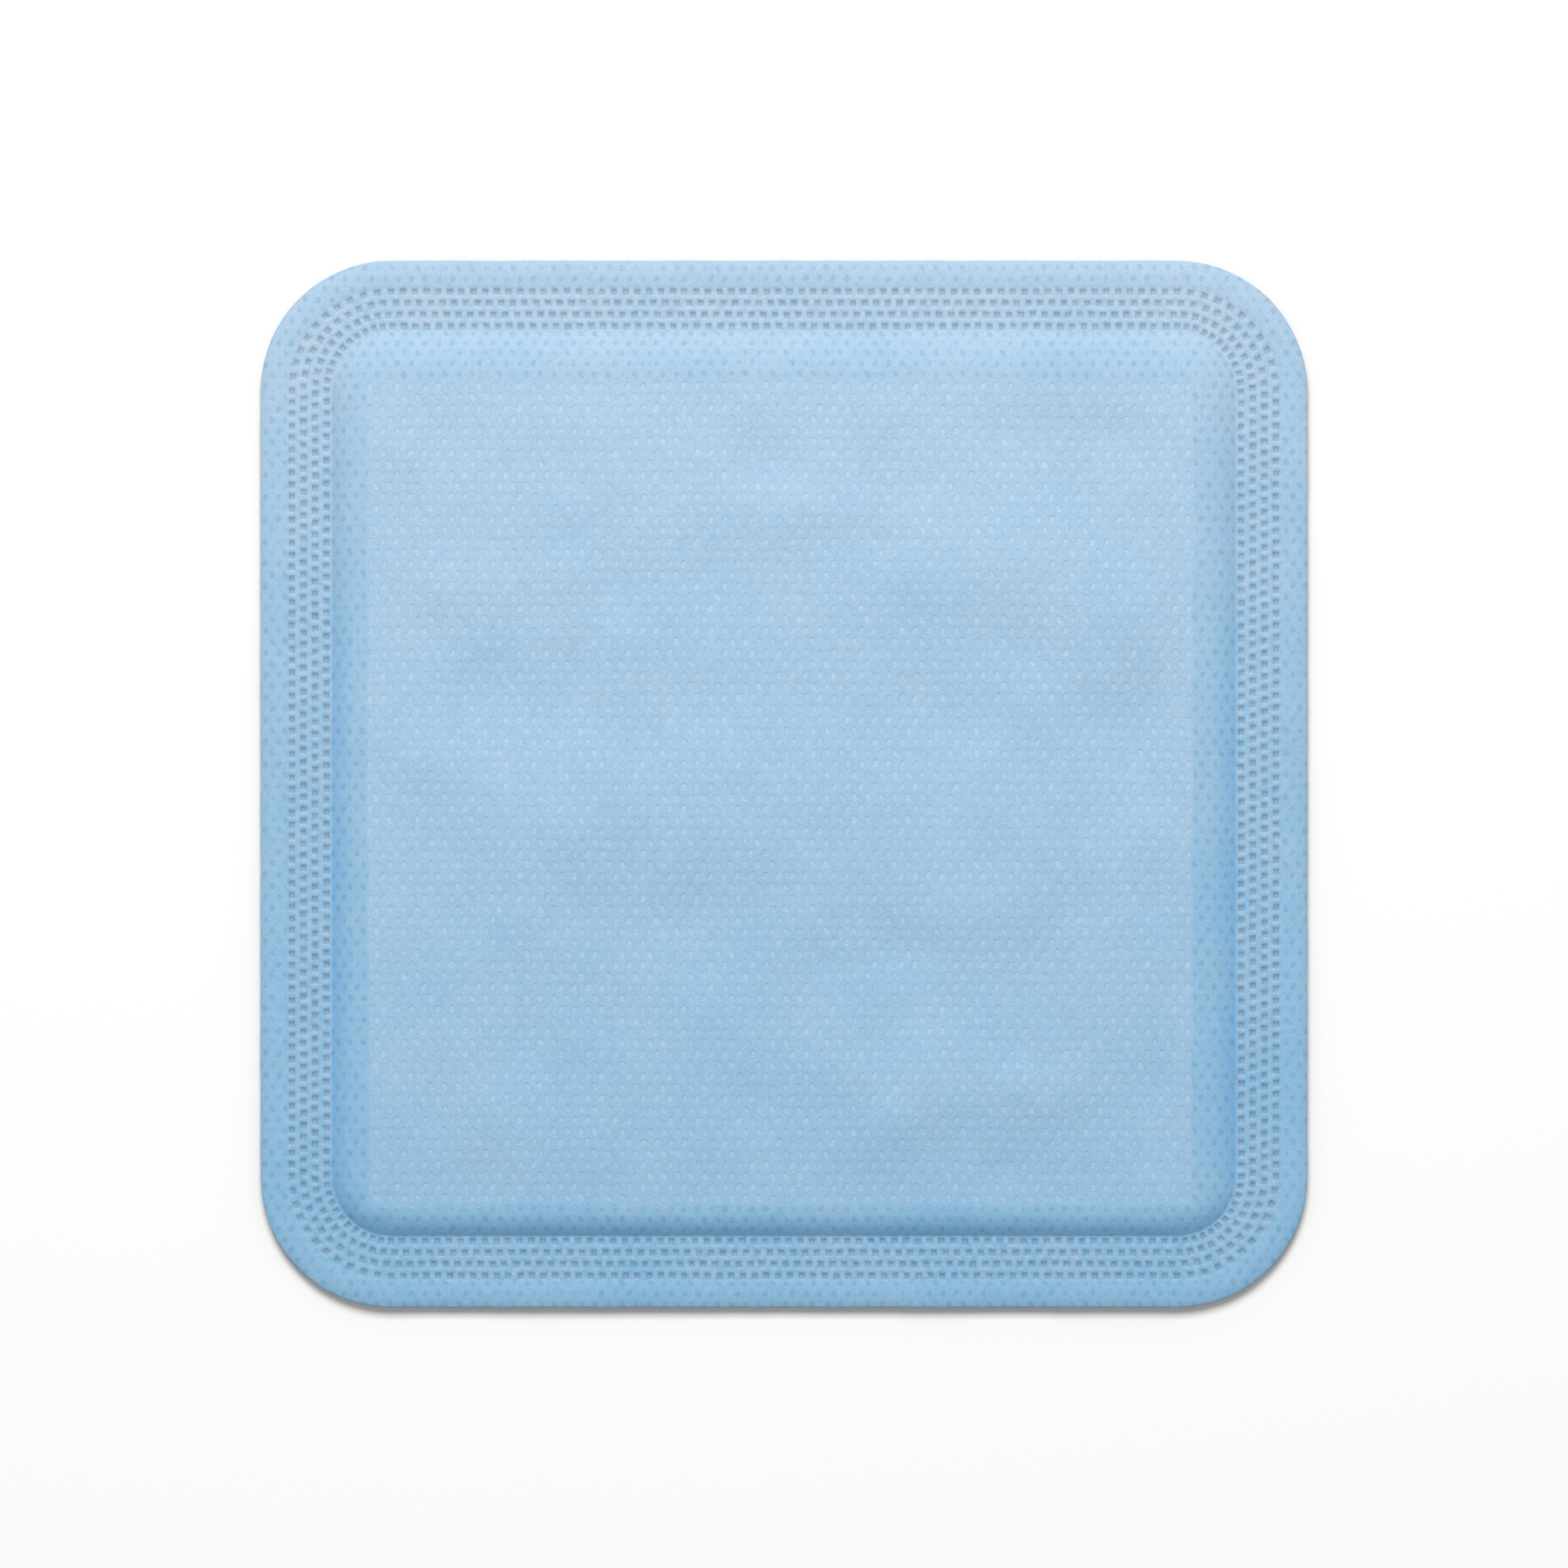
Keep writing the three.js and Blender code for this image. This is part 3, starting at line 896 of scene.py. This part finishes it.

# %% [markdown]
# How much white shows is one number for each place, 0 for deep blue and 1 for white fluff. It is larger over
# the core, whose white fluff shines through. It also grows towards the far side: that part is painted light,
# the brighter light and sheen of the softbox beyond the far edge painted into the colour. Clouds of three
# sizes
# break it up: wide ones for the fluff, finer ones for the web, and the finest for single filaments. At the
# foot of the pocket the colour holds painted shade and painted light: bluer and less white over its near
# half, which faces away from the softbox, and whiter on the far side, which faces it.

# %% The white that comes through, with painted light and shade
up = backing.sum("MULTIPLY_ADD", y, 1 / PAD_SIDE, 0.5)
# Painted light: beside and over the core the white grows towards the far side, the brighter light and sheen
# of the softbox painted in.
bare_white_and_far_light = backing.sum("MULTIPLY_ADD", backing.sum("MULTIPLY", up, up), 0.23, 0.09)
backed_white_and_far_light = backing.sum("MULTIPLY_ADD", up, 0.19, 0.126)
white = backing.sum("MULTIPLY_ADD", over_core, backing.sum("SUBTRACT", backed_white_and_far_light, bare_white_and_far_light), bare_white_and_far_light)
for size, detail, roughness, spread in [(14, 3, 0.5, 0.14), (1.6, 3, 0.6, 0.10), (0.3, 2, 0.6, 0.10)]:
    white = backing.sum("ADD", white, backing.centred(backing.cloud(size, detail, roughness), spread))
white = backing.sum("MULTIPLY_ADD", mat, 0.03, white)
flecks = backing.centred(backing.cloud(0.8, 2, 0.6), 0.36)
white = backing.sum("MULTIPLY_ADD", flecks, in_seal, white)
white = backing.sum("MULTIPLY_ADD", point_over_core, 0.025, white)
# Painted shade and light at the foot of the pocket: less white over its near half, more on the far side,
# which faces the softbox.
foot_light_and_shade = backing.centred(backing.fade(up, 0.55, 0.95), 0.06)
white = backing.sum("MULTIPLY_ADD", foot, foot_light_and_shade, white)
# Painted shade: the foot of the pocket is tinted bluer and darker, fading out towards the far side.
foot_shade = backing.sum("MULTIPLY", foot, backing.fade(up, 0.9, 0.5))
print("Nodes so far:", len(backing.nodes))

# %% [markdown]
# The colours. The first two are the ends between which the white is blended. The others are filters that the
# result is multiplied with: a value under 1 takes some of that light away and a value over 1 adds some.

# %% Colours of the backing
DEEP_BLUE = srgb(123, 181, 220)
WHITE_FLUFF = srgb(248, 249, 251)
POINT_OVER_CORE = (1.06, 1.048, 1.04, 1.0)
POINT_OVER_HOLLOW = (0.80, 0.86, 0.885, 1.0)
# Painted shade: the bluer tint of the shaded foot of the pocket.
FOOT_SHADE_BLUE = (0.92, 1.0, 1.06, 1.0)
PRESSED_CLOTH = (0.985, 0.965, 0.955, 1.0)
# The grey of the melted film in the dots, made darker still as painted shade in the pits.
MELTED_FILM_AND_PIT_SHADE = (0.79, 0.74, 0.71, 1.0)

# Where the dots' film lies, its colour also carries painted shade of the pits.
melt_and_pit_shade = backing.sum("MULTIPLY", film, backing.sum("MULTIPLY_ADD", backing.cloud(1.5, 1), 1.0, 0.5))
colour = backing.blend(white, DEEP_BLUE, WHITE_FLUFF)
for share, tint in [(point_over_core, POINT_OVER_CORE), (point_beside_core, POINT_OVER_HOLLOW),
                    (foot_shade, FOOT_SHADE_BLUE), (in_seal, PRESSED_CLOTH), (melt_and_pit_shade, MELTED_FILM_AND_PIT_SHADE)]:
    colour = backing.blend(share, colour, tint, "MULTIPLY")
backing.feed(backing.shader.inputs["Base Color"], colour)
print("Deep blue as light needs it:", [round(share, 3) for share in DEEP_BLUE[:3]])

# %% [markdown]
# Last the gloss and the relief. Melted plastic is smoother than the fibres, so the bond points shine a little
# and the film in the dots more. The relief has a dip at each bond point, the filaments, and soft puckers of
# two sizes. It is weaker in the seal, which the hot tool has ironed.

# %% Gloss and relief of the backing
gloss = backing.sum("SUBTRACT", 0.66, backing.sum("MULTIPLY", point, 0.12))
roughness = backing.sum("SUBTRACT", gloss, backing.sum("MULTIPLY", film, 0.2))
backing.feed(backing.shader.inputs["Roughness"], roughness)
backing.shader.inputs["Specular IOR Level"].default_value = 0.28
backing.shader.inputs["Sheen Weight"].default_value = 0.06
backing.shader.inputs["Sheen Roughness"].default_value = 0.5

dip = backing.sum("MULTIPLY", backing.fade(far, 1.12, 0.75), backing.sum("MULTIPLY", loose, -0.055))
dip = backing.sum("MULTIPLY", dip, backing.sum("MULTIPLY_ADD", over_core, 0.7, 0.3))
fibres = backing.sum("MULTIPLY", mat, 0.012)
wide_puckers = backing.sum("MULTIPLY", backing.cloud(1.1, 3, 0.6), 0.06)
fine_puckers = backing.sum("MULTIPLY", backing.cloud(0.35, 2, 0.6), 0.022)
puckers = backing.sum("ADD", wide_puckers, fine_puckers)
crinkled = backing.sum("SUBTRACT", 1.0, backing.sum("MULTIPLY", in_seal, 0.4))
fabric = backing.sum("MULTIPLY", backing.sum("ADD", fibres, puckers), crinkled)
backing.relief(backing.sum("ADD", dip, fabric))
backing_sheet.data.materials.append(backing.material)
print("The backing's finish has", len(backing.nodes), "nodes")

# %% [markdown]
# ## The finish of the contact sheet
#
# The same kind of nonwoven, undyed. Its bond points are slightly darker windows, and the seal dots show
# through it in four rows, because the blue sheet is pressed into it from the other side. Here they are only
# a colour and a faint relief: a count of dots along the border and the rows across it say where each lies.

# %% Contact nonwoven
UNDYED, UNDYED_THIN = srgb(238, 240, 240), srgb(190, 202, 214)
POINT_GREY = srgb(205, 212, 218)
SEAL_TINT, DOT_TINT = srgb(176, 203, 226), srgb(150, 168, 188)
FILAMENT_WHITE = srgb(252, 252, 252)


def contact_finish():
    finish = Finish("contact_nonwoven")
    far, luck = bond_points(finish)
    point = finish.sum("MULTIPLY", finish.fade(far, 1.15, 0.7), finish.sum("MULTIPLY_ADD", luck, 0.5, 0.6))
    mat = filaments(finish)
    row = finish.sum("DIVIDE", finish.sum("SUBTRACT", finish.inset(), FIRST_ROW), DOT_ROW_PITCH)
    in_row = finish.sum("ABSOLUTE", finish.sum("SUBTRACT", row, finish.sum("ROUND", row)))
    in_seal = finish.band(row, -0.6, -0.4, DOT_ROWS - 0.6, DOT_ROWS - 0.4)
    along = finish.sum("MULTIPLY_ADD", finish.sum("ROUND", row), ROW_STAGGER, finish.dots_along())
    in_pitch = finish.sum("ABSOLUTE", finish.sum("SUBTRACT", finish.sum("FRACT", along), 0.5))
    dot = finish.sum("MULTIPLY", finish.fade(in_row, 0.33, 0.23), finish.fade(in_pitch, 0.33, 0.23))
    seal = finish.sum("MULTIPLY", dot, in_seal)
    clouds = finish.sum("MULTIPLY_ADD", finish.cloud(7, 4, 0.6), 0.10, -0.02)
    colour = finish.blend(clouds, UNDYED, UNDYED_THIN)
    colour = finish.blend(finish.sum("MULTIPLY", point, 0.35), colour, POINT_GREY)
    colour = finish.blend(finish.sum("MULTIPLY", in_seal, 0.35), colour, SEAL_TINT)
    colour = finish.blend(finish.sum("MULTIPLY", seal, 0.6), colour, DOT_TINT)
    colour = finish.blend(finish.sum("MULTIPLY", mat, 0.12), colour, FILAMENT_WHITE)
    finish.feed(finish.shader.inputs["Base Color"], colour)
    roughness = finish.sum("SUBTRACT", 0.8, finish.sum("MULTIPLY", point, 0.2))
    finish.feed(finish.shader.inputs["Roughness"], roughness)
    finish.shader.inputs["Specular IOR Level"].default_value = 0.3
    finish.shader.inputs["Sheen Weight"].default_value = 0.15
    height = finish.sum("MULTIPLY", point, -0.045)
    height = finish.sum("ADD", height, finish.sum("MULTIPLY", mat, 0.012))
    height = finish.sum("ADD", height, finish.sum("MULTIPLY", seal, -0.05))
    finish.relief(finish.sum("ADD", height, finish.sum("MULTIPLY", finish.cloud(1.1, 3, 0.6), 0.06)))
    return finish.material


contact_sheet.data.materials.append(contact_finish())
print("Finishes:", [material.name for material in bpy.data.materials if material.users])

# %% [markdown]
# ## The sheets in place of the solid
#
# The two sheets take the place of the plain solid. Both are cloth cut from a flat web. Each is attached to
# the pad's root body, and the imported solid is hidden.

for sheet, slot, rise, rests_on in [(backing_sheet, "backing_nonwoven", POCKET_RISE, "contact_sheet"),
                                    (contact_sheet, "contact_nonwoven", SEAL_BOTTOM, "dressing")]:
    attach(sheet, "root")
    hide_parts("dressing")

# %% [markdown]
# ## Table, light and camera
#
# The photo is a plain product shot: the pad from straight above on pure white, lit softly from its far side,
# with a thin shadow under the near edge. A table that really was this bright would throw its light back at
# the pad and wash out the shadow. So it is white to the camera, and a plain grey to all other light.

# %% The table
TABLE_SIDE = 6.0
TABLE_WHITE = 1.0
TABLE_GREY = 0.28


def make_table():
    mesh = bpy.data.meshes.new("table")
    half = TABLE_SIDE / 2
    corners = [(-half, -half, 0), (half, -half, 0), (half, half, 0), (-half, half, 0)]
    mesh.from_pydata(corners, [], [(0, 1, 2, 3)])
    table = bpy.data.objects.new("table", mesh)
    bpy.context.scene.collection.objects.link(table)
    white_table = Finish("white_table")
    seen = white_table.seen_by_camera()
    white = white_table.sum("MULTIPLY_ADD", seen, TABLE_WHITE - TABLE_GREY, TABLE_GREY)
    white_table.feed(white_table.shader.inputs["Base Color"], white)
    white_table.shader.inputs["Roughness"].default_value = 0.9
    white_table.shader.inputs["Specular IOR Level"].default_value = 0.1
    mesh.materials.append(white_table.material)
    return table


print("The table is", [round(side) for side in make_table().dimensions[:2]], "m wide")

# %% [markdown]
# One large, square softbox stands beyond the far side and a little to the left, high enough to light the top
# and low enough to shade the pits. An even white room fills the shadows. Both stay at a plain level, so that
# each colour renders about as it is written.

# %% Soft light
SOFTBOX_PLACE = (-0.05, 0.67, 1.09)
SOFTBOX_SIDE = 0.56
SOFTBOX_POWER = 12.7
ROOM_LIGHT = 0.39


def look_at(thing, target):
    """Turns a lamp or camera so that it points at a place."""
    direction = (target - thing.location).normalized()
    thing.rotation_euler = direction.to_track_quat("-Z", "Y").to_euler()


def make_softbox(name, place, side, power):
    lamp = bpy.data.lights.new(name, "AREA")
    lamp.shape, lamp.size, lamp.energy = "SQUARE", side, power
    softbox = bpy.data.objects.new(name, lamp)
    softbox.location = Vector(place)
    bpy.context.scene.collection.objects.link(softbox)
    look_at(softbox, Vector((0, 0, 0)))
    return softbox


def make_room():
    """An even white room: white where the camera sees it, and a softer fill light for the pad."""
    room = bpy.data.worlds.new("room")
    bpy.context.scene.world = room
    network = Network(room)
    strength = network.sum("MULTIPLY_ADD", network.seen_by_camera(), 1.0 - ROOM_LIGHT, ROOM_LIGHT)
    background = network.nodes["Background"]
    network.feed(background.inputs["Strength"], strength)
    network.feed(background.inputs["Color"], (1, 1, 1, 1))


softbox = make_softbox("far_softbox", SOFTBOX_PLACE, SOFTBOX_SIDE, SOFTBOX_POWER)
make_room()
bpy.context.scene.view_settings.view_transform = "Standard"
print("The softbox is", round(softbox.location.length, 2), "m from the pad")

# %% [markdown]
# The camera hangs straight above the pad with a long lens, so the sides of the square stay parallel. Its
# lens is worked out from the photo: 1282 of the 1920 pixels are 125 mm of pad.

# %% The camera
CAMERA_HEIGHT = 1.2
SENSOR = 36.0


def make_camera():
    lens = bpy.data.cameras.new("camera")
    camera = bpy.data.objects.new("camera", lens)
    bpy.context.scene.collection.objects.link(camera)
    camera.location = (0, 0, CAMERA_HEIGHT)
    seen_width = PHOTO_SIDE * MM_PER_PIXEL * MM
    lens.sensor_width = SENSOR
    lens.lens = SENSOR * (CAMERA_HEIGHT - LIP_TOP * MM) / seen_width
    lens.clip_start, lens.clip_end = 0.05, 20
    bpy.context.scene.camera = camera
    return lens.lens


print("Lens:", round(make_camera(), 1), "mm")
